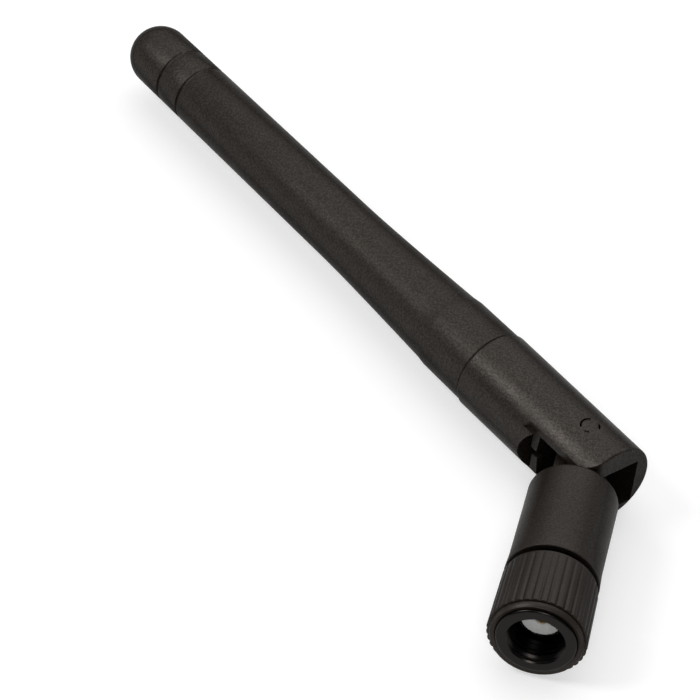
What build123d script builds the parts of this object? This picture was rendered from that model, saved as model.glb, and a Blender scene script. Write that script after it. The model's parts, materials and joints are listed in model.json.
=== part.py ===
from build123d import *
import os
from math import cos, pi, radians, sin, tan

# Small hinged whip antenna for a wireless router, millimetres.
# The origin is the centre of the first turn of the coupling thread. The plug looks along -Y, the swivel
# barrel runs along +Y, the hinge pin stands along +Z, and the whip is folded towards -X.
# The antenna lies on its side, as it does on a table.

# Hinge
fold_deg = 49.4            # angle between the barrel's axis and the whip's axis, as the antenna lies
pivot_y = 26.55            # hinge pin to the first turn of the thread
pin_radius = 1.03
pin_ear_clearance = 0.02   # the pin is pressed into the ears
pin_tongue_clearance = 0.05
pin_end_recess = 0.03      # the pin's ends are dressed to the round of the ears

# Yoke: the moulded fork at the foot of the whip
body_radius = 4.6
ear_end = 4.75             # pin to the flat end of the ears
yoke_top = 15.15           # pin to the joint line with the radome
slot_near = 2.10           # slot wall on the +Z side
slot_far = 3.30            # slot wall on the -Z side, where the cable passes beside the tongue
slot_back = 2.85           # inner face of the back wall, which keeps the whip from folding the other way
slot_end_radius = 5.0      # the slot's inner end is round, seen from the fold side
slot_end_station = 0.1     # pin to the centre of that round
slot_end_height = -1.2
ear_flat = 3.55            # the near ear is trimmed flat on the fold side at this distance from the axis
ear_flat_end = 5.0         # pin to the end of the flat
ear_flat_runout = 4.0      # radius of the curve in which the flat runs out
ear_corner_radius = 2.2
tab_thickness = 0.80       # the two tabs that keep the cable in the slot
tab_foot = 3.10            # pin to the edge of the tabs on the side of the pin
tab_width = 1.10
tab_lean = 0.25            # the tabs lean away from the pin by this much
near_tab_length = 2.20
far_tab_length = 2.10
far_tab_inset = 0.30       # the far tab stands this much deeper in the slot
tab_root = 0.25            # how far a tab's foot is buried in the slot's wall
tab_recess = 0.05          # the tabs stay this far inside the yoke's round
ear_end_round = 0.30
yoke_top_chamfer = 0.15
spigot_radius = 3.55
spigot_length = 6.0
spigot_lead = 0.35
cable_way_radius = 0.85
sleeve_seat_depth = 1.6    # the brass sleeve stands in a counterbore in the spigot's end

# Radome: the tapered plastic cover of the whip
radome_foot_radius = 4.48
radome_collar_radius = 4.40
radome_collar_length = 6.6
radome_step = 0.14
radome_step_length = 0.9
radome_waist_radius = 3.64
radome_waist = 40.5        # pin to the end of the flare
flare_knee_radius = 3.662
flare_knee = 35.9
radome_tip_radius = 3.47
whip_length = 78.8         # pin to the tip
radome_wall = 0.95
radome_spigot_clearance = 0.04
groove_stations = (67.54, 71.15)
groove_width = 0.30
groove_depth = 0.14

# Antenna element inside the radome
sleeve_radius = 2.2
sleeve_wall = 0.2
sleeve_length = 26.0
sleeve_clearance = 0.05
cap_thickness = 0.6
choke_bead_thickness = 2.0
feed_gap = 2.0
feed_bead_radius = 1.5
radiator_radius = 1.1
radiator_wall = 0.35
radiator_headroom = 2.2    # from the radiator's free end to the centre of the tip's round
tip_disc_thickness = 2.5
tip_disc_from_end = 3.0    # distance of the disc's face below the radiator's free end
bead_fit = 0.03

# Coaxial cable, 1.13 mm
jacket_radius = 0.565
braid_radius = 0.465
dielectric_radius = 0.34
wire_radius = 0.12
layer_gap = 0.005
jacket_setback = 0.1       # from the plug's tail to the jacket, under the ferrule
braid_bare = 2.5           # stripped length of braid below the sleeve's cap
wire_in_radiator = 1.5
cable_straight = 2.3       # from the plug's tail to the corner of the cable's first bend
cable_exit_x = 1.3         # where the cable leaves the barrel's end
cable_exit_z = -2.55
cable_side = 2.05          # the cable passes the pin at this distance on the outer side of the bend
cable_z = -2.6
cable_bend_radius = 5.0    # of the bend beside the pin, and the most that any other bend has
cable_bend_share = 0.45    # largest share of a run that one bend may take
cable_inlet = 6.2          # pin to the bend where the cable turns into the yoke
cable_centred = 12.6       # pin to the point where the cable is back on the whip's axis

# Swivel barrel
barrel_top = 6.0           # pin to the barrel's flat end
barrel_foot = 8.25         # the barrel's other end, from the origin
barrel_top_radius = 4.63
barrel_skirt_radius = 4.67 # where the barrel begins to flare towards its foot
barrel_skirt = 2.2         # length of the flare
barrel_foot_radius = 4.80
barrel_top_round = 0.45
barrel_foot_round = 0.15
tongue_half_width = 2.7
tongue_half_thickness = 1.95
barrel_bore_radius = 3.5
barrel_end_wall = 1.05
tongue_root = 0.5          # overlap of the tongue with the barrel's end wall

# Plug: 1/4-36 thread, reversed contact
thread_minor_radius = 2.85
thread_length = 2.7
mouth_chamfer = 0.45
mouth_radius = 2.95
shell_radius = 2.285
shell_bore_radius = 2.05
shell_front = 2.75
plug_neck_radius = 2.70
plug_neck_start = 5.0
plug_press_radius = 3.45
plug_press_length = 2.5
plug_tail_radius = 0.85
plug_tail_length = 1.7
insulator_length = 5.2
contact_radius = 0.635
contact_hole_radius = 0.46
contact_hole_depth = 3.0
contact_recess = 0.10
contact_length = 6.6
solder_hole_depth = 1.0
ferrule_radius = 1.25
ferrule_length = 2.2
solder_room = 0.4          # free space around the contact's back, where the wire is soldered
solder_room_wall = 0.6

# Coupling nut and its grip
nut_radius = 4.30
nut_rear = 7.30
nut_running_clearance = 0.08
nut_relief_radius = 3.30
nut_edge_chamfer = 0.12
ring_station = 6.50
ring_thickness = 0.50
ring_clearance = 0.06
ring_inner_radius = 2.36
ring_outer_radius = 3.06
ring_gap = 1.2
grip_crest_radius = 4.84   # at the rear; the ridges grow towards the front
grip_crest_front_radius = 5.00
grip_rim_radius = 4.70
grip_band_radius = 4.54    # the smooth front band
grip_valley_radius = 4.58
grip_front_setback = 0.10
grip_front_chamfer = 0.14
grip_rear = 7.58
flute_count = 36
flute_start = 0.30
flute_share = 0.62         # of the pitch that a flute takes at the crest
flute_rear_rim = 0.40
grip_band_slope = 0.20
grip_rim_slope = 0.10
fit_gap = 0.02

cut_past = 1.0             # how far a cutting shape runs past the face that it opens

pivot = Vector(0, pivot_y, 0)
yoke_spigot_top = yoke_top + spigot_length
sleeve_foot = yoke_spigot_top - sleeve_seat_depth
sleeve_top = sleeve_foot + sleeve_length
radiator_foot = sleeve_top + cap_thickness + feed_gap
tip_centre = whip_length - radome_tip_radius
radiator_top = tip_centre - radiator_headroom
plug_press_start = barrel_foot
plug_press_end = plug_press_start + plug_press_length
plug_tail_end = plug_press_end + plug_tail_length
nut_front = -mouth_chamfer


def turned(outline):
    """A solid of revolution about Y; the outline is (radius, station) points in order."""
    return revolve(make_face(Polyline(*[(r, s) for r, s in outline], close=True)), Axis.Y)


def tube(outer, inner, start, end):
    """A plain tube or, with no bore, a rod on the Y axis."""
    return turned([(inner, start), (outer, start), (outer, end), (inner, end)])


def prism(sketch, low, high):
    """A sketch in the XY plane raised between two heights."""
    return extrude(Pos(0, 0, low) * sketch, high - low)


def to_whip(shape):
    """From the whip's own frame, pin at the origin and axis along +Y, to the folded whip."""
    return Pos(*pivot) * Rot(0, 0, fold_deg) * shape


def whip_point(side, station, height):
    """A point of the whip's own frame, folded into place."""
    turn = radians(fold_deg)
    return Vector(side * cos(turn) - station * sin(turn),
                  pivot_y + side * sin(turn) + station * cos(turn), height)


def radome():
    """Thin tapered cover: collar over the spigot, hollow flare, near-cylindrical tube and round tip."""
    collar_end = yoke_top + radome_collar_length
    flare_start = collar_end + radome_step_length
    flare_radius = radome_collar_radius - radome_step
    socket_radius = spigot_radius + radome_spigot_clearance
    socket_end = yoke_spigot_top + radome_spigot_clearance
    bore_waist = radome_waist_radius - radome_wall
    bore_tip = radome_tip_radius - radome_wall
    outer = [
        Line((radome_foot_radius, yoke_top), (radome_collar_radius, collar_end)),
        Line((radome_collar_radius, collar_end), (flare_radius, flare_start)),
        Bezier((flare_radius, flare_start), (flare_knee_radius, flare_knee),
               (radome_waist_radius, radome_waist)),
        Line((radome_waist_radius, radome_waist), (radome_tip_radius, tip_centre)),
        RadiusArc((radome_tip_radius, tip_centre), (0, whip_length), -radome_tip_radius),
        Line((0, whip_length), (0, tip_centre + bore_tip)),
        RadiusArc((0, tip_centre + bore_tip), (bore_tip, tip_centre), bore_tip),
        Line((bore_tip, tip_centre), (bore_waist, radome_waist)),
        Line((bore_waist, radome_waist), (bore_waist, socket_end)),
        Line((bore_waist, socket_end), (socket_radius, socket_end)),
        Line((socket_radius, socket_end), (socket_radius, yoke_top)),
        Line((socket_radius, yoke_top), (radome_foot_radius, yoke_top)),
    ]
    cover = revolve(make_face(Wire(outer)), Axis.Y)
    taper = (radome_waist_radius - radome_tip_radius) / (tip_centre - radome_waist)
    for station in groove_stations:
        skin = radome_waist_radius - taper * (station - radome_waist)
        cover -= tube(skin + radome_wall, skin - groove_depth,
                      station - groove_width / 2, station + groove_width / 2)
    return to_whip(cover)


def yoke():
    """Fork with two ears, a closed back, a hollowed slot on the fold side and a spigot for the radome."""
    body = turned([(0, -ear_end), (body_radius, -ear_end),
                   (body_radius, yoke_top - yoke_top_chamfer), (body_radius - yoke_top_chamfer, yoke_top),
                   (spigot_radius, yoke_top), (spigot_radius, yoke_spigot_top - spigot_lead),
                   (spigot_radius - spigot_lead, yoke_spigot_top), (0, yoke_spigot_top)])
    end_rim = body.edges().filter_by(GeomType.CIRCLE).sort_by(Axis.Y)[0]
    body = fillet(end_rim, ear_end_round)
    body -= slot_room()
    body -= prism(ear_trim(), slot_near, body_radius)
    corner = Pos(ear_corner_radius / 2 - ear_flat, ear_corner_radius / 2 - ear_end) * Rectangle(
        ear_corner_radius, ear_corner_radius)
    corner -= Pos(ear_corner_radius - ear_flat, ear_corner_radius - ear_end) * Circle(ear_corner_radius)
    body -= prism(corner, -body_radius, body_radius)
    body -= Cylinder(pin_radius + pin_ear_clearance, 3 * body_radius)
    body -= cable_way(cable_way_radius)
    body -= tube(cable_way_radius, 0, cable_centred, yoke_spigot_top + spigot_lead)
    seat = sleeve_radius + sleeve_clearance
    body -= tube(seat, 0, sleeve_foot, yoke_spigot_top + spigot_lead)
    body += cable_tab(-ear_flat, slot_near + tab_root, slot_near - near_tab_length)
    body += cable_tab(far_tab_inset - ear_flat, -slot_far - tab_root, far_tab_length - slot_far)
    return to_whip(body)


def slot_room():
    """The slot between the ears: open towards the pin's end and the fold side, with a round inner end."""
    reach = 2 * slot_end_radius
    height = slot_near + slot_far
    inner_end = Pos(slot_end_station, slot_end_height) * Circle(slot_end_radius)
    mouth = Pos(slot_end_station - reach / 2, 0) * Rectangle(reach, 2 * reach)
    profile = (inner_end + mouth) & Pos(0, (slot_near - slot_far) / 2) * Rectangle(3 * reach, height)
    return extrude(Plane((slot_back, 0, 0), x_dir=(0, 1, 0), z_dir=(1, 0, 0)) * profile, -reach)


def ear_trim():
    """What the flat on the near ear takes away, with its run-out towards the joint line."""
    runout_depth = body_radius - ear_flat
    runout = (ear_flat_runout ** 2 - (ear_flat_runout - runout_depth) ** 2) ** 0.5
    past = body_radius + cut_past
    return make_face(Wire([
        Line((-past, -past), (-ear_flat, -past)),
        Line((-ear_flat, -past), (-ear_flat, ear_flat_end)),
        RadiusArc((-ear_flat, ear_flat_end), (-body_radius, ear_flat_end + runout), -ear_flat_runout),
        Line((-body_radius, ear_flat_end + runout), (-past, ear_flat_end + runout)),
        Line((-past, ear_flat_end + runout), (-past, -past))]))


def cable_tab(side, foot, tip):
    """Small tab between two heights at the slot's inner end; it keeps the cable from slipping out."""
    outline = Polyline((tab_foot, foot), (tab_foot + tab_width, foot),
                       (tab_foot + tab_width, tip), (tab_foot + tab_lean, tip), close=True)
    plane = Plane((side, 0, 0), x_dir=(0, 1, 0), z_dir=(1, 0, 0))
    tab = extrude(plane * make_face(outline), tab_thickness)
    return tab & tube(body_radius - tab_recess, 0, -ear_end, yoke_top)


def cable_way(radius):
    """Hole that leads the cable from the slot's inner end to the whip's axis, in the whip's own frame."""
    slot_end = Vector(cable_side, slot_end_station + slot_end_radius - radius, cable_z)
    inlet = Vector(cable_side, cable_inlet, cable_z)
    centred = Vector(0, cable_centred, 0)
    slant = centred - inlet
    straight = extrude(Plane(slot_end, z_dir=inlet - slot_end) * Circle(radius), (inlet - slot_end).length)
    slanted = extrude(Plane(inlet, z_dir=slant) * Circle(radius), slant.length)
    return straight + Pos(*inlet) * Sphere(radius) + slanted + Pos(*centred) * Sphere(radius)


def hinge_pin():
    """Straight pin through both ears and the tongue, its ends dressed flush with the ears."""
    pin = Cylinder(pin_radius, 3 * body_radius)
    return to_whip(pin & tube(body_radius - pin_end_recess, 0, -ear_end, ear_end))


def choke_sleeve():
    """Quarter-wave brass tube around the cable, open towards the plug."""
    return to_whip(tube(sleeve_radius, sleeve_radius - sleeve_wall, sleeve_foot, sleeve_top))


def sleeve_cap():
    """Brass disc that closes the sleeve's upper end and is soldered to the braid."""
    return to_whip(tube(sleeve_radius, braid_radius + bead_fit, sleeve_top, sleeve_top + cap_thickness))


def choke_bead():
    """Plastic bead that centres the cable in the sleeve's open end."""
    start = sleeve_foot + choke_bead_thickness
    return to_whip(tube(sleeve_radius - sleeve_wall - bead_fit, jacket_radius + bead_fit,
                        start, start + choke_bead_thickness))


def feed_bead():
    """Insulating bead between the sleeve's cap and the radiator."""
    return to_whip(tube(feed_bead_radius, dielectric_radius + bead_fit,
                        sleeve_top + cap_thickness, radiator_foot))


def radiator_tube():
    """Quarter-wave brass tube soldered to the cable's centre wire."""
    foot = tube(radiator_radius, wire_radius + layer_gap, radiator_foot, radiator_foot + radiator_wall)
    wall = tube(radiator_radius, radiator_radius - radiator_wall, radiator_foot, radiator_top)
    return to_whip(foot + wall)


def tip_disc():
    """Foam disc that centres the radiator in the radome."""
    start = radiator_top - tip_disc_from_end - tip_disc_thickness
    taper = (radome_waist_radius - radome_tip_radius) / (tip_centre - radome_waist)
    room = radome_waist_radius - radome_wall - taper * (start + tip_disc_thickness - radome_waist)
    return to_whip(tube(room - bead_fit, radiator_radius + bead_fit, start, start + tip_disc_thickness))


def cable_route(start_y, end_station):
    """Centre line of the cable, from a point on the barrel's axis to a point on the whip's axis."""
    turn = radians(fold_deg)
    corner = cable_side / cos(turn / 2)
    points = [
        Vector(0, start_y, 0),
        Vector(0, plug_tail_end + cable_straight, 0),
        Vector(cable_exit_x, pivot_y - barrel_top - barrel_end_wall, cable_exit_z),
        Vector(corner * cos(turn / 2), pivot_y + corner * sin(turn / 2), cable_z),
        whip_point(cable_side, cable_inlet, cable_z),
        whip_point(0, cable_centred, 0),
        whip_point(0, end_station, 0),
    ]
    return points


def bend_radii(points):
    """A radius for each inner point, as large as its two runs allow, up to the cable's own bend radius."""
    radii = []
    for before, here, after in zip(points, points[1:], points[2:]):
        run = min((here - before).length, (after - here).length)
        half_turn = radians((here - before).get_angle(after - here)) / 2
        radii.append(min(cable_bend_share * run / tan(half_turn), cable_bend_radius))
    return radii


def rounded_path(points, radii):
    """Straight runs joined by tangent arcs, one arc for each inner point."""
    edges = []
    last = points[0]
    for before, here, after, radius in zip(points, points[1:], points[2:], radii):
        back = (before - here).normalized()
        ahead = (after - here).normalized()
        half_turn = radians(180 - back.get_angle(ahead)) / 2
        reach = radius * tan(half_turn)
        middle = here + (back + ahead).normalized() * radius * (1 / cos(half_turn) - 1)
        edges.append(Line(last, here + back * reach))
        edges.append(ThreePointArc(here + back * reach, middle, here + ahead * reach))
        last = here + ahead * reach
    edges.append(Line(last, points[-1]))
    return Wire(edges)


def cable_layer(outer, inner, start_y, end_station):
    """One layer of the cable: a tube that follows the route, or the solid centre wire."""
    points = cable_route(start_y, end_station)
    shared = cable_route(plug_press_end + fit_gap + ferrule_length, sleeve_top)
    section = Circle(outer)
    if inner > 0:
        section -= Circle(inner)
    path = rounded_path(points, bend_radii(shared))
    return sweep(Plane(points[0], z_dir=points[1] - points[0]) * section, path=path)


def coax_jacket():
    """Outer jacket, from the crimp ferrule to just under the sleeve's cap."""
    return cable_layer(jacket_radius, braid_radius + layer_gap,
                       plug_tail_end + jacket_setback, sleeve_top - braid_bare)


def coax_braid():
    """Shield, from the plug's tail to the sleeve's cap, which it is soldered into."""
    return cable_layer(braid_radius, dielectric_radius + layer_gap, plug_tail_end, sleeve_top + cap_thickness)


def coax_dielectric():
    """Core insulation, from the plug's tail to the radiator."""
    start = plug_press_end - plug_tail_length / 2
    return cable_layer(dielectric_radius, wire_radius + layer_gap, start, radiator_foot)


def coax_wire():
    """Centre wire, from the contact's solder hole to inside the radiator."""
    start = shell_front + contact_recess + contact_length - solder_hole_depth + layer_gap
    return cable_layer(wire_radius, 0, start, radiator_foot + wire_in_radiator)


def swivel_barrel():
    """Round lower housing with a hollow core and the hinge tongue on its flat end."""
    top = pivot_y - barrel_top
    shell = turned([(0, barrel_foot), (barrel_foot_radius, barrel_foot),
                    (barrel_skirt_radius, barrel_foot + barrel_skirt), (barrel_top_radius, top), (0, top)])
    rims = shell.edges().filter_by(GeomType.CIRCLE).sort_by(Axis.Y)
    shell = fillet(rims[-1], barrel_top_round)
    shell = fillet(shell.edges().filter_by(GeomType.CIRCLE).sort_by(Axis.Y)[0], barrel_foot_round)
    inner_end = top - barrel_end_wall
    shell -= tube(barrel_bore_radius, 0, barrel_foot - cut_past, inner_end)
    exit_hole = tube(cable_way_radius, 0, inner_end - cut_past, top + cut_past)
    stem_length = barrel_top + tongue_root
    stem = Pos(0, pivot_y - stem_length / 2) * Rectangle(2 * tongue_half_width, stem_length)
    knuckle = Pos(0, pivot_y) * Circle(tongue_half_width)
    tongue = prism(stem + knuckle, -tongue_half_thickness, tongue_half_thickness)
    tongue -= Pos(*pivot) * Cylinder(pin_radius + pin_tongue_clearance, 3 * body_radius)
    return shell + tongue - Pos(cable_exit_x, 0, cable_exit_z) * exit_hole


def connector_body():
    """Turned brass plug body: contact shell, neck with the ring's groove, press-in shank and crimp tail."""
    groove_low = ring_station - ring_thickness / 2 - ring_clearance
    groove_high = ring_station + ring_thickness / 2 + ring_clearance
    groove_floor = ring_inner_radius - ring_clearance
    insulator_end = shell_front + insulator_length
    room_end = plug_press_end - solder_room_wall
    return turned([
        (shell_bore_radius, shell_front), (shell_radius, shell_front), (shell_radius, plug_neck_start),
        (plug_neck_radius, plug_neck_start), (plug_neck_radius, groove_low), (groove_floor, groove_low),
        (groove_floor, groove_high), (plug_neck_radius, groove_high), (plug_neck_radius, plug_press_start),
        (plug_press_radius, plug_press_start), (plug_press_radius, plug_press_end),
        (plug_tail_radius, plug_press_end), (plug_tail_radius, plug_tail_end),
        (dielectric_radius + bead_fit, plug_tail_end), (dielectric_radius + bead_fit, room_end),
        (contact_radius + solder_room, room_end), (contact_radius + solder_room, insulator_end),
        (shell_bore_radius, insulator_end)])


def insulator():
    """White dielectric bead that holds the contact in the shell."""
    return tube(shell_bore_radius - fit_gap, contact_radius + fit_gap,
                shell_front, shell_front + insulator_length)


def centre_contact():
    """Gold-plated socket contact, with a solder hole for the cable's wire at its back."""
    front = shell_front + contact_recess
    back = front + contact_length
    return turned([
        (contact_hole_radius, front), (contact_radius, front), (contact_radius, back),
        (wire_radius + layer_gap, back), (wire_radius + layer_gap, back - solder_hole_depth),
        (0, back - solder_hole_depth), (0, front + contact_hole_depth),
        (contact_hole_radius, front + contact_hole_depth)])


def retaining_ring():
    """Split spring ring in the grooves of the body and the nut; it lets the nut turn but not slide off."""
    ring = tube(ring_outer_radius, ring_inner_radius,
                ring_station - ring_thickness / 2, ring_station + ring_thickness / 2)
    split = Box(ring_gap, 2 * ring_thickness, 2 * ring_outer_radius)
    return ring - Pos(0, ring_station, -ring_outer_radius) * split


def crimp_ferrule():
    """Copper ferrule crimped over the plug's tail and the first of the jacket."""
    start = plug_press_end + fit_gap
    tail = tube(ferrule_radius, plug_tail_radius + fit_gap, start, plug_tail_end)
    neck = tube(ferrule_radius, jacket_radius + fit_gap, plug_tail_end, start + ferrule_length)
    return tail + neck


def coupling_nut():
    """Plated brass nut: chamfered mouth, thread, relief behind it and a rear collar on the plug's neck."""
    running = plug_neck_radius + nut_running_clearance
    groove_low = ring_station - ring_thickness / 2 - ring_clearance
    groove_high = ring_station + ring_thickness / 2 + ring_clearance
    groove_floor = ring_outer_radius + ring_clearance
    return turned([
        (mouth_radius, nut_front), (nut_radius - nut_edge_chamfer, nut_front),
        (nut_radius, nut_front + nut_edge_chamfer), (nut_radius, nut_rear), (running, nut_rear),
        (running, groove_high), (groove_floor, groove_high), (groove_floor, groove_low),
        (running, groove_low), (running, plug_neck_start), (nut_relief_radius, plug_neck_start),
        (nut_relief_radius, thread_length), (thread_minor_radius, thread_length), (thread_minor_radius, 0)])


def nut_grip():
    """Moulded grip around the nut, with straight flutes between a smooth front band and a thin rear rim."""
    front = nut_front + grip_front_setback
    inner = nut_radius + fit_gap
    flute_end = grip_rear - flute_rear_rim
    rear_bore = plug_neck_radius + nut_running_clearance
    grip = turned([
        (inner, front), (grip_band_radius - grip_front_chamfer, front),
        (grip_band_radius, front + grip_front_chamfer), (grip_band_radius, flute_start),
        (grip_crest_front_radius, flute_start + grip_band_slope), (grip_crest_radius, flute_end),
        (grip_rim_radius, flute_end + grip_rim_slope),
        (grip_rim_radius, grip_rear), (rear_bore, grip_rear), (rear_bore, nut_rear + fit_gap),
        (inner, nut_rear + fit_gap)])
    half_pitch = grip_crest_front_radius * sin(pi / flute_count) * flute_share
    depth = grip_crest_front_radius - grip_valley_radius
    cutter_radius = (half_pitch ** 2 + depth ** 2) / (2 * depth)
    cutter_centre = grip_valley_radius + cutter_radius
    flute = Pos(cutter_centre, 0, 0) * tube(cutter_radius, 0, flute_start, flute_end)
    for turn in range(flute_count):
        grip -= Rot(0, turn * 360 / flute_count, 0) * flute
    return grip


def write(name, shape):
    """One STEP file for each piece."""
    export_step(shape, f"parts/{name}.step")


os.makedirs("parts", exist_ok=True)
for piece in (radome, yoke, hinge_pin, choke_sleeve, sleeve_cap, choke_bead, feed_bead, radiator_tube,
              tip_disc, coax_jacket, coax_braid, coax_dielectric, coax_wire, swivel_barrel, connector_body,
              insulator, centre_contact, retaining_ring, crimp_ferrule, coupling_nut, nut_grip):
    write(piece.__name__, piece())
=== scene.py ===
import json
import math

import bmesh
import bpy
from mathutils import Matrix, Vector


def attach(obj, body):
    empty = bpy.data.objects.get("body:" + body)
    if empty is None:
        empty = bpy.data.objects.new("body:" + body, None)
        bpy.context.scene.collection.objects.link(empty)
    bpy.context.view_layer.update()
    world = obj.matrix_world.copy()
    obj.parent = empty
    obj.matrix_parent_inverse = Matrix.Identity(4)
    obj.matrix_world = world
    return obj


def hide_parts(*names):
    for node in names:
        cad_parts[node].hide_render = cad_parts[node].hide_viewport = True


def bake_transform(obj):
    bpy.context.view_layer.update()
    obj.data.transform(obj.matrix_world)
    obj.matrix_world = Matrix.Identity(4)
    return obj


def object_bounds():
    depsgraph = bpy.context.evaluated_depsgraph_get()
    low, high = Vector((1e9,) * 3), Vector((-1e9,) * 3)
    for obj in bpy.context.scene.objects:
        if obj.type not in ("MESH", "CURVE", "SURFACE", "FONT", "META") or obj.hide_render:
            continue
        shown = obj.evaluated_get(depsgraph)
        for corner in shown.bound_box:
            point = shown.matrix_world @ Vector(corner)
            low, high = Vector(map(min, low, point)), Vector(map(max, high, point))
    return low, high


# A small black wifi antenna lies on a white table: whip folded to the left, plug towards the viewer.
# The antenna's sizes are in millimetres and become metres when a mesh is made.
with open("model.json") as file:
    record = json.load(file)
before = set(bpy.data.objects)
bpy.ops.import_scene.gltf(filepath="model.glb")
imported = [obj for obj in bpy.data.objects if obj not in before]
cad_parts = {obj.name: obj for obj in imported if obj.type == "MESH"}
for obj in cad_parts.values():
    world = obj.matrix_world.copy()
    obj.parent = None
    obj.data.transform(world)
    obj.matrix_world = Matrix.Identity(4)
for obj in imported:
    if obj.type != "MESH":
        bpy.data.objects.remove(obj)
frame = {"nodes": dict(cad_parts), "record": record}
cad_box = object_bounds()

# Camera
# A long lens looks down on the antenna at about 42 degrees, from the plug's side. Its place and turn are
# measured from the hinge pin, as fitted to the barrel and the whip of the photograph.
MM = 0.001
hinge = next(joint for joint in frame["record"]["behaviour"]["joints"] if joint["name"] == "fold")
pivot = Vector([value / MM for value in hinge["pos_m"]])
camera_data = bpy.data.cameras.new("camera")
camera_data.lens = 201.22
camera_data.sensor_width = 36
camera_data.clip_start = 0.01
camera = bpy.data.objects.new("camera", camera_data)
camera_right = Vector((0.97080, 0.21652, 0.10324))
camera_up = Vector((-0.22061, 0.63687, 0.73873))
camera_turn = Matrix((camera_right, camera_up, camera_right.cross(camera_up))).transposed().to_4x4()
hinge_to_camera = Vector((0.011957, -0.292040, 0.270182))
camera.matrix_world = Matrix.Translation(pivot * MM + hinge_to_camera) @ camera_turn
bpy.context.scene.collection.objects.link(camera)
bpy.context.scene.camera = camera
bpy.context.scene.view_settings.view_transform = "Standard"

# Table
# A white sheet of matt paper lies under the antenna. The camera, metal and glass see it white; what lights
# the antenna from below is the paper itself, and the soft shadow stays on it.


def linear(code):
    """A colour written as sRGB hex, as the shader wants it."""
    values = [int(code[i:i + 2], 16) / 255 for i in (1, 3, 5)]
    return [v / 12.92 if v <= 0.04045 else ((v + 0.055) / 1.055) ** 2.4 for v in values] + [1.0]


def add_node(tree, kind, settings=None, **links):
    """One shader node: settings are attributes or socket values, links are sockets fed by other nodes."""
    node = tree.nodes.new(kind)
    for name, value in (settings or {}).items():
        if hasattr(node, name):
            setattr(node, name, value)
        else:
            node.inputs[name].default_value = value
    for name, source in links.items():
        tree.links.new(source, node.inputs[name.replace("_", " ")])
    return node


def new_material(name):
    """An empty node material with its tree and output."""
    material = bpy.data.materials.new(name)
    material.use_nodes = True
    tree = material.node_tree
    tree.nodes.clear()
    output = tree.nodes.new("ShaderNodeOutputMaterial")
    return material, tree, output


def white_table_paper():
    """Uncoated paper: matt and even, so it shows nothing but the shadow."""
    material, tree, output = new_material("white_table_paper")
    paper = add_node(tree, "ShaderNodeBsdfDiffuse", {"Color": linear("#c8c8c8")})
    glow = add_node(tree, "ShaderNodeEmission", {"Color": linear("#ffffff")})
    path = add_node(tree, "ShaderNodeLightPath")
    seen = path.outputs["Is Camera Ray"]
    for ray in ("Is Glossy Ray", "Is Transmission Ray"):
        either = add_node(tree, "ShaderNodeMath", {"operation": "MAXIMUM"})
        tree.links.new(seen, either.inputs[0])
        tree.links.new(path.outputs[ray], either.inputs[1])
        seen = either.outputs[0]
    strength = add_node(tree, "ShaderNodeMath", {"operation": "MULTIPLY"})
    tree.links.new(seen, strength.inputs[0])
    strength.inputs[1].default_value = 0.50
    tree.links.new(strength.outputs[0], glow.inputs["Strength"])
    both = add_node(tree, "ShaderNodeAddShader")
    tree.links.new(paper.outputs[0], both.inputs[0])
    tree.links.new(glow.outputs[0], both.inputs[1])
    tree.links.new(both.outputs[0], output.inputs["Surface"])
    return material


def table():
    """The sheet, three metres square, at the antenna's lowest point."""
    half = 1500 * MM
    level = cad_box[0][2]
    mesh = bpy.data.meshes.new("table")
    corners = [(-half, -half, level), (half, -half, level), (half, half, level), (-half, half, level)]
    mesh.from_pydata(corners, [], [(0, 1, 2, 3)])
    mesh.materials.append(white_table_paper())
    sheet = bpy.data.objects.new("table", mesh)
    bpy.context.scene.collection.objects.link(sheet)


table()

# Light
# A pale room that is darker on the camera's side, a broad softbox overhead, a smaller one at the left and
# a small one beside the camera, which lights the plug's mouth. Places and diameters are in metres.


def room_light(front, rear):
    """Pale walls whose brightness goes from front to rear along +Y."""
    world = bpy.data.worlds.new("pale_room")
    world.use_nodes = True
    tree = world.node_tree
    tree.nodes.clear()
    way = add_node(tree, "ShaderNodeSeparateXYZ")
    tree.links.new(add_node(tree, "ShaderNodeTexCoord").outputs["Generated"], way.inputs[0])
    strength = add_node(tree, "ShaderNodeMapRange",
                        {"From Min": -0.5, "From Max": 0.7, "To Min": front, "To Max": rear},
                        Value=way.outputs["Y"])
    walls = add_node(tree, "ShaderNodeBackground", {"Color": linear("#ffffff")}, Strength=strength.outputs[0])
    output = add_node(tree, "ShaderNodeOutputWorld")
    tree.links.new(walls.outputs[0], output.inputs["Surface"])
    bpy.context.scene.world = world


def softbox(name, place, diameter, radiance):
    """A round softbox that looks at the hinge; its face has the given radiance."""
    data = bpy.data.lights.new(name, "AREA")
    data.shape = "DISK"
    data.size = diameter
    data.energy = radiance * math.pi * math.pi * (diameter / 2) ** 2
    light = bpy.data.objects.new(name, data)
    light.location = place
    light.rotation_euler = (pivot * MM - Vector(place)).to_track_quat("-Z", "Y").to_euler()
    bpy.context.scene.collection.objects.link(light)


room_light(front=0.10, rear=0.62)
softbox("overhead_softbox", (-0.05, 0.40, 0.62), diameter=1.15, radiance=0.95)
softbox("left_softbox", (-0.60, -0.15, 0.60), diameter=0.34, radiance=9.0)
softbox("front_softbox", (0.05, -0.55, 0.48), diameter=0.26, radiance=8.5)

# Radome
# The long tapered cover of the whip, moulded in one piece: a short collar, a hollow flare and a nearly
# straight tube with two thin rings below the round tip. It is glued over the yoke's spigot.

# The whip has a frame of its own: its axis is +Y and the pin is the origin. It is in line with the barrel
# at the joint's lower limit, so that limit gives its fold in the photograph.
fold = math.radians(-hinge["range_deg"][0])
to_whip = Matrix.Translation(pivot) @ Matrix.Rotation(fold, 4, "Z")


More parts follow.
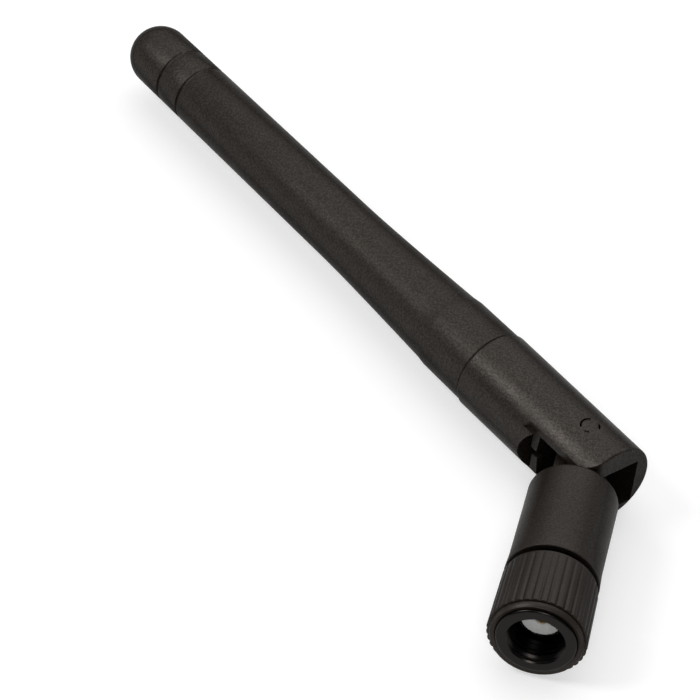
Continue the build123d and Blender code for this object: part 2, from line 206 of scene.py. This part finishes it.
def moulded_plastic(name, colour, gloss, grain_mm, bump_mm, speck):
    """Black plastic from a spark-eroded mould: satin, with a fine grain whose tops are rubbed to faint
    light specks. The grain is drawn about twice as coarse as the real one, so that it shows. Edges are a
    little soft, but not where the pin is dressed flush with the yoke."""
    material, tree, output = new_material(name)
    place = add_node(tree, "ShaderNodeTexCoord").outputs["Object"]
    grain = add_node(tree, "ShaderNodeTexNoise",
                     {"Scale": 1 / (grain_mm * MM), "Detail": 3.0, "Roughness": 0.6}, Vector=place)
    rubbed_mm = 0.8 * grain_mm
    rubbed = add_node(tree, "ShaderNodeTexNoise", {"Scale": 1 / (rubbed_mm * MM), "Detail": 2.0},
                      Vector=place)
    tone = add_node(tree, "ShaderNodeMapRange",
                    {"From Min": 0.38, "From Max": 0.68, "To Min": 1 - speck, "To Max": 1 + speck},
                    Value=rubbed.outputs[0])
    specked = add_node(tree, "ShaderNodeMix", {"data_type": "RGBA", "blend_type": "MULTIPLY"})
    specked.inputs[0].default_value = 1.0
    specked.inputs[6].default_value = linear(colour)
    tree.links.new(tone.outputs[0], specked.inputs[7])
    blotch_mm = 3.5
    blotch = add_node(tree, "ShaderNodeTexNoise", {"Scale": 1 / (blotch_mm * MM), "Detail": 2.0},
                      Vector=place)
    rough = add_node(tree, "ShaderNodeMapRange",
                     {"From Min": 0.3, "From Max": 0.7, "To Min": gloss - 0.04, "To Max": gloss + 0.04},
                     Value=blotch.outputs[0])
    across_pin = add_node(tree, "ShaderNodeVectorMath", {"operation": "MULTIPLY"})
    tree.links.new(place, across_pin.inputs[0])
    across_pin.inputs[1].default_value = (1, 1, 0)
    from_pin = add_node(tree, "ShaderNodeVectorMath", {"operation": "DISTANCE"})
    tree.links.new(across_pin.outputs[0], from_pin.inputs[0])
    from_pin.inputs[1].default_value = pivot * MM
    flush_reach, soft_reach, flush_edge, soft_edge = 1.3, 1.6, 0.01, 0.08
    softness = add_node(tree, "ShaderNodeMapRange",
                        {"From Min": flush_reach * MM, "From Max": soft_reach * MM,
                         "To Min": flush_edge * MM, "To Max": soft_edge * MM},
                        Value=from_pin.outputs["Value"])
    edge = add_node(tree, "ShaderNodeBevel", {"samples": 4}, Radius=softness.outputs[0])
    bump = add_node(tree, "ShaderNodeBump", {"Strength": 1.0, "Distance": bump_mm * MM},
                    Height=grain.outputs[0], Normal=edge.outputs[0])
    facing = add_node(tree, "ShaderNodeLayerWeight", {"Blend": 0.5})
    sheen = add_node(tree, "ShaderNodeMapRange",
                     {"From Min": 0.15, "From Max": 0.55, "To Min": 0.46, "To Max": 0.04},
                     Value=facing.outputs["Facing"])
    gleam = add_node(tree, "ShaderNodeMath", {"operation": "MULTIPLY"})
    tree.links.new(sheen.outputs[0], gleam.inputs[0])
    tree.links.new(tone.outputs[0], gleam.inputs[1])
    plastic = add_node(tree, "ShaderNodeBsdfPrincipled", {"IOR": 1.46, "Specular Tint": linear("#fff5ec")},
                       Base_Color=specked.outputs[2], Roughness=rough.outputs[0],
                       Normal=bump.outputs[0], Specular_IOR_Level=gleam.outputs[0])
    tree.links.new(plastic.outputs[0], output.inputs["Surface"])
    return material


def circle_part(x, y, radius, first_deg, last_deg, steps=24):
    """Points along a circle about (x, y) from one direction to another."""
    turns = [math.radians(first_deg + (last_deg - first_deg) * k / steps) for k in range(steps + 1)]
    return [(x + radius * math.cos(turn), y + radius * math.sin(turn)) for turn in turns]


def even(count):
    """Equal steps round the circle."""
    return [2 * math.pi * i / count for i in range(count)]


def closed(work):
    """Merges the points that fall together and turns all faces outwards."""
    bmesh.ops.remove_doubles(work, verts=work.verts, dist=1e-5)
    bmesh.ops.dissolve_degenerate(work, edges=work.edges, dist=1e-6)
    bmesh.ops.recalc_face_normals(work, faces=work.faces)
    return work


def lathe(outline, angles, relief=None):
    """A closed outline of (radius, station along the axis) turned about the Y axis. A relief, of angle,
    radius and station, adds to the radius."""
    work = bmesh.new()
    rings = []
    for angle in angles:
        ring = []
        for radius, station in outline:
            r = radius + (relief(angle, radius, station) if relief else 0)
            ring.append(work.verts.new((r * math.sin(angle), station, r * math.cos(angle))))
        rings.append(ring)
    for i, ring in enumerate(rings):
        after = rings[(i + 1) % len(rings)]
        for j in range(len(outline)):
            k = (j + 1) % len(outline)
            work.faces.new((ring[j], ring[k], after[k], after[j]))
    return closed(work)


def as_object(work, name, place=None):
    """A work mesh in millimetres becomes an object in metres, after being set in place."""
    if place is not None:
        bmesh.ops.transform(work, matrix=place, verts=work.verts)
    bmesh.ops.scale(work, vec=(MM, MM, MM), verts=work.verts)
    mesh = bpy.data.meshes.new(name)
    work.to_mesh(mesh)
    work.free()
    piece = bpy.data.objects.new(name, mesh)
    bpy.context.scene.collection.objects.link(piece)
    return piece


def shade(piece, degrees=30):
    """Smooth faces, with every edge that turns more than this kept sharp."""
    piece.data.shade_smooth()
    piece.data.set_sharp_from_angle(angle=math.radians(degrees))


def dress(piece, material, body, node):
    """Material, body and the CAD node that the piece stands for."""
    piece.data.materials.clear()
    piece.data.materials.append(material)
    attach(piece, body)
    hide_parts(node)


def radome():
    """One turned outline; the two rings are a little deeper where the halves of the mould meet."""
    foot, collar_end, flare_start, waist, tip_centre = 15.17, 21.75, 22.65, 40.5, 75.33
    foot_radius, collar_radius, flare_radius, waist_radius, tip_radius = 4.46, 4.40, 4.26, 3.64, 3.47
    socket_radius, socket_end = 3.62, 21.2
    bore_radius, tip_bore_radius, tip_bore_length = 2.69, 2.4, 2.5
    outline = [(socket_radius, foot), (foot_radius - 0.18, foot), (foot_radius - 0.10, foot + 0.13),
               (foot_radius, foot + 0.19), (collar_radius, collar_end - 0.15),
               (collar_radius - 0.015, collar_end), (collar_radius - 0.07, collar_end + 0.45),
               (flare_radius, flare_start)]
    knee_radius, knee, steps = 3.662, 35.9, 24
    for step in range(1, steps + 1):
        t = step / steps
        outline.append(((1 - t) ** 2 * flare_radius + 2 * t * (1 - t) * knee_radius + t * t * waist_radius,
                        (1 - t) ** 2 * flare_start + 2 * t * (1 - t) * knee + t * t * waist))
    rings = (67.54, 71.15)
    ring_edge = ((0.26, 0), (0.20, 0.02), (0.14, 0.05))
    taper = (waist_radius - tip_radius) / (tip_centre - waist)
    for station in rings:
        skin = waist_radius - taper * (station - waist)
        outline += [(skin - depth, station - half) for half, depth in ring_edge]
        outline += [(skin - depth, station + half) for half, depth in reversed(ring_edge)]
    outline += circle_part(0, tip_centre, tip_radius, 0, 90)
    outline += [(0, tip_centre + tip_bore_length), (tip_bore_radius, tip_centre), (bore_radius, waist),
                (bore_radius, socket_end), (socket_radius, socket_end)]
    fold_side_depth, back_depth = 0.18, 0.10

    def deeper_at_the_sides(angle, radius, station):
        outside = radius > bore_radius + 0.3
        in_a_ring = min(abs(station - ring) for ring in rings) <= 0.15
        if not (outside and in_a_ring):
            return 0
        side = math.sin(angle)
        return -fold_side_depth * max(0, -side) - back_depth * max(0, side)

    piece = as_object(lathe(outline, even(160), deeper_at_the_sides), "radome_cover", to_whip)
    shade(piece)
    # A soft plastic with the coarsest grain: the dullest cover, with one broad light along the tube.
    soft_plastic = moulded_plastic("black_soft_plastic_grain", "#1c1713", gloss=0.46, grain_mm=0.26,
                                   bump_mm=0.026, speck=0.30)
    dress(piece, soft_plastic, "whip", "radome")


radome()

# Yoke
# The moulded fork at the foot of the whip: a round body, closed at the back and open on the fold side, with
# a round inner end to the slot. The near ear is trimmed flat, and two small tabs keep the cable in. The
# mould's parting line runs up the fold side.
pin_hole = 1.06
parting_line = 1.5 * math.pi

# ABS from a coarse mould: the glossiest of the black plastics, with the plainest specks.
yoke_plastic = moulded_plastic("black_abs_coarse_grain", "#1c1713", gloss=0.38, grain_mm=0.24,
                               bump_mm=0.020, speck=0.32)

# For outlines of (station, height), whose thickness then lies along the whip's side direction.
along_side = Matrix(((0, 0, 1, 0), (1, 0, 0, 0), (0, 1, 0, 0), (0, 0, 0, 1)))


def arc(before, here, after, radius, steps):
    """Points of the arc that rounds the corner at here, between the ways to before and to after."""
    back = (before - here).normalized()
    ahead = (after - here).normalized()
    half = back.angle(ahead) / 2
    centre = here + (back + ahead).normalized() * radius / math.sin(half)
    first = here + back * radius / math.tan(half) - centre
    last = here + ahead * radius / math.tan(half) - centre
    return [centre + first.slerp(last, k / steps) * radius for k in range(steps + 1)]


def rounded(points, steps):
    """Corners (x, y) or (x, y, radius) as a closed outline; a corner with a radius becomes an arc."""
    outline = []
    for i, corner in enumerate(points):
        here = Vector(corner[:2])
        if len(corner) == 2:
            outline.append(here)
            continue
        after = points[(i + 1) % len(points)]
        outline += arc(Vector(points[i - 1][:2]), here, Vector(after[:2]), corner[2], steps)
    return [(p.x, p.y) for p in outline]


def with_parting_line(count):
    """Equal steps round the circle, with finer ones at the parting line."""
    clear, fine_steps = math.radians(3), 10
    fine = [parting_line + clear * (k / fine_steps - 0.5) for k in range(fine_steps + 1)]
    coarse = [a for a in even(count) if abs((a - parting_line + math.pi) % (2 * math.pi) - math.pi) > clear]
    return sorted(coarse + fine)


def parting_ridge(angle, height, half_width_deg):
    """The fine ridge that the mould leaves at its parting line."""
    off = math.degrees(abs(angle - parting_line)) / half_width_deg
    return height * max(0, 1 - off * off)


def prism(outline, low, high):
    """A closed outline in the XY plane raised between two heights."""
    work = bmesh.new()
    bottom = [work.verts.new((x, y, low)) for x, y in outline]
    top = [work.verts.new((x, y, high)) for x, y in outline]
    work.faces.new(bottom[::-1])
    work.faces.new(top)
    for i in range(len(outline)):
        j = (i + 1) % len(outline)
        work.faces.new((bottom[i], bottom[j], top[j], top[i]))
    bmesh.ops.recalc_face_normals(work, faces=work.faces)
    return work


def round_bar(x, y, radius, half_length):
    """A bar of sixty sides along +Z, for a hole."""
    return prism(circle_part(x, y, radius, 0, 354, 59), -half_length, half_length)


def combine(piece, other, operation="DIFFERENCE"):
    """Takes one closed mesh out of another, or joins the two."""
    modifier = piece.modifiers.new("combine", "BOOLEAN")
    modifier.operation = operation
    modifier.solver = "EXACT"
    modifier.object = other
    graph = bpy.context.evaluated_depsgraph_get()
    mesh = bpy.data.meshes.new_from_object(piece.evaluated_get(graph))
    piece.modifiers.clear()
    piece.data = mesh
    bpy.data.objects.remove(other)


def slot_tab(side, foot, tip, outer_foot):
    """A leaning tab that grows from a wall of the slot; its outer foot follows the yoke's round."""
    start, end, lean, thickness = 3.10, 4.20, 0.25, 0.80
    work = prism([(start, foot), (end, foot), (end, tip), (start + lean, tip)], side, side + thickness)
    bmesh.ops.transform(work, matrix=along_side, verts=work.verts)
    for corner in work.verts:
        if abs(corner.co.x - side) < 0.01 and abs(corner.co.z - foot) < 0.01:
            corner.co.z = outer_foot
    return work


def yoke():
    """A turned body, cut for the slot, the near ear's flat, the ears' round corner and the pin."""
    body_radius, spigot_radius = 4.6, 3.55
    end, full_ridge, top, spigot_top = -4.75, 8.0, 15.15, 21.15
    outline = rounded([(0, end), (body_radius, end, 0.30), (body_radius, full_ridge),
                       (body_radius, top, 0.14), (spigot_radius, top), (spigot_radius, spigot_top),
                       (0, spigot_top)], 8)

    def ridge(angle, radius, station):
        on_the_body = radius > spigot_radius + 0.1 and station >= full_ridge
        return parting_ridge(angle, 0.035, 0.55) if on_the_body else 0

    piece = as_object(lathe(outline, with_parting_line(160), ridge), "yoke_fork")
    past, through = 9, 6

    slot_near, slot_far, slot_back = 2.10, -3.30, 2.85
    round_station, round_height, round_radius = 0.1, -1.2, 5.0
    low_turn = math.degrees(math.asin((slot_far - round_height) / round_radius))
    high_turn = math.degrees(math.asin((slot_near - round_height) / round_radius))
    slot_end = circle_part(round_station, round_height, round_radius, low_turn, high_turn)
    slot = prism([(-past, slot_far)] + slot_end + [(-past, slot_near)], -past, slot_back)
    combine(piece, as_object(slot, "slot", along_side))

    flat, flat_end, runout_length, runout_depth, steps = -3.55, 4.8, 1.7, 0.60, 16
    runout = [(flat - runout_depth * (1 - (1 - k / steps) ** 3), flat_end + runout_length * k / steps)
              for k in range(steps + 1)]
    trim = [(-past, -past), (flat, -past)] + runout + [(-past, runout[-1][1])]
    combine(piece, as_object(prism(trim, slot_near, past), "trim"))

    ear_round = 2.2
    corner = [(flat - 2, end - 2), (flat - 2, end + ear_round)]
    corner += circle_part(flat + ear_round, end + ear_round, ear_round, 180, 270, 12)
    corner.append((flat + ear_round, end - 2))
    combine(piece, as_object(prism(corner, -through, through), "corner"))
    combine(piece, as_object(round_bar(0, 0, pin_hole, through), "pin_hole"))

    near_tab = slot_tab(side=flat, foot=2.35, tip=-0.10, outer_foot=2.35)
    combine(piece, as_object(near_tab, "near_tab"), "UNION")
    far_tab = slot_tab(side=flat + 0.30, foot=-3.50, tip=-1.20, outer_foot=-3.15)
    combine(piece, as_object(far_tab, "far_tab"), "UNION")
    piece.data.transform(Matrix.Scale(MM, 4) @ to_whip @ Matrix.Scale(1 / MM, 4))
    shade(piece, 12)
    piece.modifiers.new("even_normals", "WEIGHTED_NORMAL").keep_sharp = True
    dress(piece, yoke_plastic, "whip", "yoke")


yoke()

# Hinge pin
# A plain plastic pin pressed through both ears. Its ends are dressed to the yoke's round, so that its
# outline shows only where a little of the joint has stayed open.


def pin():
    """Both ends of the pin in one closed skin; its edge stands back where the joint is open."""
    open_joints = ((45, 158), (-65, -15), (-170, -131))
    end_round, press_gap, gap, dip, fade_deg, step_deg = 4.595, 0.003, 0.17, 0.07, 7, 3

    def opening(turn_deg):
        widest = 0
        for first, last in open_joints:
            inside = min(turn_deg - first, last - turn_deg)
            widest = max(widest, min(1, inside / fade_deg))
        return widest

    work = bmesh.new()
    rings = []
    for turn_deg in range(-180, 180, step_deg):
        turn = math.radians(turn_deg)
        edge = pin_hole - press_gap - gap * opening(turn_deg)
        drop_at_edge = dip * opening(turn_deg)
        ring = []
        for reach, drop in ((0, 0), (0.5, 0), (edge - 0.08, 0), (edge - 0.03, drop_at_edge * 0.3),
                            (edge, drop_at_edge)):
            x, y = reach * math.cos(turn), reach * math.sin(turn)
            ring.append((x, y, math.sqrt(end_round ** 2 - x ** 2) - drop))
        ring += [(x, y, -z) for x, y, z in reversed(ring)]
        rings.append([work.verts.new(place) for place in ring])
    for i, ring in enumerate(rings):
        after = rings[(i + 1) % len(rings)]
        for j in range(len(ring) - 1):
            work.faces.new((ring[j], ring[j + 1], after[j + 1], after[j]))
    piece = as_object(closed(work), "flush_pin", to_whip)
    shade(piece)
    dress(piece, yoke_plastic, "whip", "hinge_pin")


pin()

# Swivel barrel
# The smooth lower housing, flared a little towards its hollow foot, moulded in one piece with the flat
# hinge tongue. It is pressed on the plug.


def barrel():
    """A turned shell with the tongue joined to its flat end; the tongue has the pin's eye."""
    foot, skirt, top = 8.25, 10.45, 20.55
    foot_radius, skirt_radius, top_radius = 4.80, 4.67, 4.63
    recess_depth, recess_radius, rim_radius, top_round = 0.9, 4.50, 4.58, 0.45
    outline = rounded([(0, foot + recess_depth), (recess_radius, foot + recess_depth),
                       (rim_radius, foot, 0.04), (foot_radius, foot, 0.10), (skirt_radius, skirt),
                       (top_radius, top, top_round), (0, top)], 6)

    def ridge(angle, radius, station):
        on_the_side = radius > recess_radius and station < top - 2 * top_round
        return parting_ridge(angle, 0.03, 0.5) if on_the_side else 0

    piece = as_object(lathe(outline, with_parting_line(160), ridge), "barrel_shell")
    half_width, far_side, near_side, root = 2.7, -1.95, 1.55, 0.5
    head = circle_part(0, pivot.y, half_width, 0, 180)
    tongue_outline = [(-half_width, top - root), (half_width, top - root)] + head
    tongue = as_object(prism(tongue_outline, far_side, near_side), "tongue")
    combine(tongue, as_object(round_bar(0, pivot.y, pin_hole + 0.02, 3), "eye"))
    combine(piece, tongue, "UNION")
    shade(piece)
    # ABS from a finer mould: its long light is smoother than the yoke's and has fewer specks.
    housing_plastic = moulded_plastic("black_abs_fine_grain", "#1c1713", gloss=0.42, grain_mm=0.22,
                                      bump_mm=0.012, speck=0.22)
    dress(piece, housing_plastic, "barrel", "swivel_barrel")


barrel()

# Nut grip
# The plastic grip moulded round the nut: a smooth band in front that widens to the rear, a shallow neck,
# straight soft ridges that grow towards the front, and a thin rim behind.


def grip():
    """One turned outline whose long side carries the ridges."""
    front, band_end, start, end, rear = -0.32, 0.16, 0.34, 7.18, 7.58
    band, rim, lip_radius, bore, rear_bore = 4.54, 4.70, 4.11, 4.32, 2.78
    nut_step, nut_rear = 0.30, 7.32
    front_crest, rear_crest, front_valley, rear_valley = 5.00, 4.84, 4.87, 4.78
    count, steps = 36, 8
    side = [(front_crest, start + (end - start) * k / steps) for k in range(steps + 1)]
    outline = [(lip_radius, nut_step), (lip_radius, front + 0.15), (band - 0.05, front), (band, front + 0.05),
               (band + 0.20, band_end), (band + 0.20, band_end + 0.08), (band + 0.12, band_end + 0.12),
               (band + 0.12, start)]
    outline += side
    outline += [(rim, end + 0.10), (rim, rear, 0.08), (rear_bore, rear), (rear_bore, nut_rear),
                (bore, nut_rear), (bore, nut_step)]

    def ridges(angle, radius, station):
        on_the_side = abs(radius - front_crest) < 0.01
        if not on_the_side:
            return 0
        share = (station - start) / (end - start)
        low = front_valley + (rear_valley - front_valley) * share
        high = front_crest + (rear_crest - front_crest) * share
        wave = 0.5 + 0.5 * math.cos(count * angle)
        return low + (high - low) * (1 - (1 - wave) ** 3) - radius

    piece = as_object(lathe(rounded(outline, 4), even(count * 12), ridges), "grip_sleeve")
    shade(piece)
    # Nylon from a smooth mould: satin and almost without grain, so each ridge carries a clean light.
    grip_plastic = moulded_plastic("black_nylon_satin", "#1c1612", gloss=0.44, grain_mm=0.16,
                                   bump_mm=0.006, speck=0.15)
    dress(piece, grip_plastic, "nut", "nut_grip")


grip()

# Coupling nut
# Turned brass with a black nickel plate: a flat annular face with a rounded outer edge, a chamfered mouth
# and a fine 36-turns-an-inch thread, drawn as rings, in the bore.


def plated_metal(name, colour, gloss):
    """Smooth drawn, turned or plated metal: a mirror that is softened by a fine grain, which is drawn
    coarser than the real one so that it shows."""
    grain_mm, bump_mm = 0.05, 0.0006
    material, tree, output = new_material(name)
    place = add_node(tree, "ShaderNodeTexCoord").outputs["Object"]
    grain = add_node(tree, "ShaderNodeTexNoise", {"Scale": 1 / (grain_mm * MM), "Detail": 2.0},
                     Vector=place)
    bump = add_node(tree, "ShaderNodeBump", {"Strength": 1.0, "Distance": bump_mm * MM},
                    Height=grain.outputs[0])
    metal = add_node(tree, "ShaderNodeBsdfPrincipled",
                     {"Base Color": linear(colour), "Metallic": 1.0, "Roughness": gloss},
                     Normal=bump.outputs[0])
    tree.links.new(metal.outputs[0], output.inputs["Surface"])
    return material


def painted_shade_behind(name, colour, gloss, first, last, share):
    """A plated metal whose colour is darkened to a share of itself behind a station, as painted shade; it
    fades between the two.
    """
    material = plated_metal(name, colour, gloss)
    tree = material.node_tree
    metal = next(node for node in tree.nodes if node.type == "BSDF_PRINCIPLED")
    along = add_node(tree, "ShaderNodeSeparateXYZ")
    tree.links.new(add_node(tree, "ShaderNodeTexCoord").outputs["Object"], along.inputs[0])
    # Painted shade: behind the first station the colour falls to the given share.
    painted_shade = add_node(tree, "ShaderNodeMapRange",
                      {"From Min": first * MM, "From Max": last * MM, "To Min": 1.0, "To Max": share},
                      Value=along.outputs["Y"])
    plate = add_node(tree, "ShaderNodeMix", {"data_type": "RGBA", "blend_type": "MULTIPLY"})
    plate.inputs[0].default_value = 1.0
    plate.inputs[6].default_value = linear(colour)
    tree.links.new(painted_shade.outputs[0], plate.inputs[7])
    tree.links.new(plate.outputs[2], metal.inputs["Base Color"])
    return material


def nut():
    """One turned outline: face, outside, rear collar, relief, thread and the grooved mouth."""
    front, outside_step, thread_end, relief_end, rear = -0.45, 0.32, 2.75, 5.0, 7.28
    mouth, face_radius, outside, collar_bore, relief = 2.98, 4.09, 4.29, 2.78, 3.3
    pitch, root, minor, first_turn = 0.7056, 3.17, 2.86, 0.85
    outline = rounded([(mouth, front), (face_radius, front, 0.30), (face_radius, outside_step),
                       (outside, outside_step), (outside, rear), (collar_bore, rear),
                       (collar_bore, relief_end), (relief, relief_end), (relief, thread_end)], 8)
    for turn in (2, 1, 0):
        at = first_turn + turn * pitch
        outline += [(minor, at + pitch * 0.58), (minor, at + pitch * 0.42),
                    (root, at + 0.05), (root, at - 0.05)]
    entry_ring = [(minor, 0.66), (minor, 0.59), (3.05, 0.40)]
    mouth_groove = [(root, 0.32), (root, -0.18), (2.85, -0.32)]
    piece = as_object(lathe(outline + entry_ring + mouth_groove, even(144)), "nut_body")
    shade(piece)
    # The plate is a dark half-bright mirror on the face; in the bore its colour is darkened to near black as
    # painted shade.
    black_nickel = painted_shade_behind("black_nickel_plate", "#262423", gloss=0.26, first=0.34, last=0.72,
                               share=0.08)
    dress(piece, black_nickel, "nut", "coupling_nut")


nut()

# Plug
# The turned plug body with its thin contact shell, white insulator and gold contact, seen through the nut's
# mouth, and behind them the split ring and the crimped ferrule, both hidden.


def smooth_dielectric(name, colour):
    """A smooth insulating plastic: faintly cloudy, with a gloss that varies a little over the turned face."""
    cloud_mm, bump_mm = 0.4, 0.002
    material, tree, output = new_material(name)
    place = add_node(tree, "ShaderNodeTexCoord").outputs["Object"]
    cloud = add_node(tree, "ShaderNodeTexNoise", {"Scale": 1 / (cloud_mm * MM), "Detail": 3.0},
                     Vector=place)
    tone = add_node(tree, "ShaderNodeMapRange",
                    {"From Min": 0.3, "From Max": 0.7, "To Min": 0.95, "To Max": 1.05},
                    Value=cloud.outputs[0])
    clouded = add_node(tree, "ShaderNodeMix", {"data_type": "RGBA", "blend_type": "MULTIPLY"})
    clouded.inputs[0].default_value = 1.0
    clouded.inputs[6].default_value = linear(colour)
    tree.links.new(tone.outputs[0], clouded.inputs[7])
    rough = add_node(tree, "ShaderNodeMapRange",
                     {"From Min": 0.3, "From Max": 0.7, "To Min": 0.40, "To Max": 0.50},
                     Value=cloud.outputs[0])
    bump = add_node(tree, "ShaderNodeBump", {"Strength": 1.0, "Distance": bump_mm * MM},
                    Height=cloud.outputs[0])
    body = add_node(tree, "ShaderNodeBsdfPrincipled", {"IOR": 1.35}, Base_Color=clouded.outputs[2],
                    Roughness=rough.outputs[0], Normal=bump.outputs[0])
    tree.links.new(body.outputs[0], output.inputs["Surface"])
    return material


def plain(node, material):
    """A CAD piece shown as it is."""
    mesh = frame["nodes"][node].data
    mesh.materials.clear()
    mesh.materials.append(material)


# Nickel plate: a bright warm mirror on the contact shell; on the body behind it the colour is darkened to
# near black as painted shade.
nickel = painted_shade_behind("bright_nickel_plate", "#cfc9bb", gloss=0.22, first=6.0, last=6.5, share=0.03)
plain("connector_body", nickel)
# Turned PTFE: the white of the mouth, faintly cloudy and without a hard light.
white_ptfe = smooth_dielectric("white_ptfe", "#ececea")
plain("insulator", white_ptfe)
# A thin gold plate, a little worn: a soft yellow spot.
gold = plated_metal("gold_plate", "#a88c5c", gloss=0.36)
plain("centre_contact", gold)
# Spring bronze, and copper with a thin coat of tin: a brown and a grey metal, both dull.
bronze = plated_metal("spring_bronze", "#a9814f", gloss=0.35)
plain("retaining_ring", bronze)
tinned = plated_metal("tinned_copper", "#b9b6ae", gloss=0.35)
plain("crimp_ferrule", tinned)

# Antenna element
# Drawn brass sleeve, cap and rod with their nylon beads and a foam disc, soldered to the cable and all
# hidden in the whip.

# Drawn brass: yellow and smooth, with a soft gloss.
brass = plated_metal("drawn_brass", "#c9a25a", gloss=0.30)
for element in ("choke_sleeve", "sleeve_cap", "radiator_tube"):
    plain(element, brass)
# Nylon without pigment is the yellowish grey of bone, and the foam is a dead white.
natural_nylon = smooth_dielectric("natural_nylon", "#c9c6ba")
for bead in ("choke_bead", "feed_bead"):
    plain(bead, natural_nylon)
white_foam = smooth_dielectric("white_foam", "#e8e8e4")
plain("tip_disc", white_foam)

# Cable
# The thin coaxial cable from the plug to the antenna element. It passes beside the pin and is drawn bent
# there to the whip's present fold; only its dark jacket can be seen, in the slot.


def whip_point(side, station, height):
    """A point of the whip's own frame, folded into place."""
    return to_whip @ Vector((side, station, height))


def cable_layer(name, points, radius, material):
    """A round layer of the cable along the points, as a mesh."""
    curve = bpy.data.curves.new(name, "CURVE")
    curve.dimensions = "3D"
    curve.bevel_depth = radius * MM
    curve.bevel_resolution = 6
    curve.use_fill_caps = True
    spline = curve.splines.new("POLY")
    spline.points.add(len(points) - 1)
    for point, place in zip(spline.points, points):
        point.co = (*(place * MM), 1)
    drawn = bpy.data.objects.new(name, curve)
    bpy.context.scene.collection.objects.link(drawn)
    mesh = bpy.data.meshes.new_from_object(drawn.evaluated_get(bpy.context.evaluated_depsgraph_get()))
    bpy.data.objects.remove(drawn)
    piece = bpy.data.objects.new(name, mesh)
    bpy.context.scene.collection.objects.link(piece)
    shade(piece)
    piece.data.materials.clear()
    piece.data.materials.append(material)
    return piece


def cable():
    """Jacket, braid, core and wire, one in the other, each bared a little further than the last."""
    beside_pin, bend_radius, bend_steps = 2.05, 5.0, 10
    route = [Vector((0, 15.0, 0)), Vector((1.3, 19.5, -2.55)),
             pivot + Vector((beside_pin, beside_pin * math.tan(fold / 2), -2.6)),
             whip_point(beside_pin, 6.2, -2.6), whip_point(0, 12.6, 0)]
    bends = []
    for before, here, after in zip(route, route[1:], route[2:]):
        bends += arc(before, here, after, bend_radius, bend_steps)
    # An extruded jacket: black and smooth, with a dull gloss.
    jacket = smooth_dielectric("black_cable_jacket", "#1d1c1c")
    layers = (("cable_jacket", "coax_jacket", 0.565, 13.05, 43.65, jacket),
              ("cable_braid", "coax_braid", 0.465, 12.45, 46.15, tinned),
              ("cable_core", "coax_dielectric", 0.34, 10.0, 48.15, white_ptfe),
              ("cable_wire", "coax_wire", 0.12, 8.50, 49.6, tinned))
    for name, node, radius, start, end, material in layers:
        points = [Vector((0, start, 0)), route[0]] + bends + [route[-1], whip_point(0, end, 0)]
        piece = cable_layer(name, points, radius, material)
        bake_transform(piece)
        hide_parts(node)


cable()
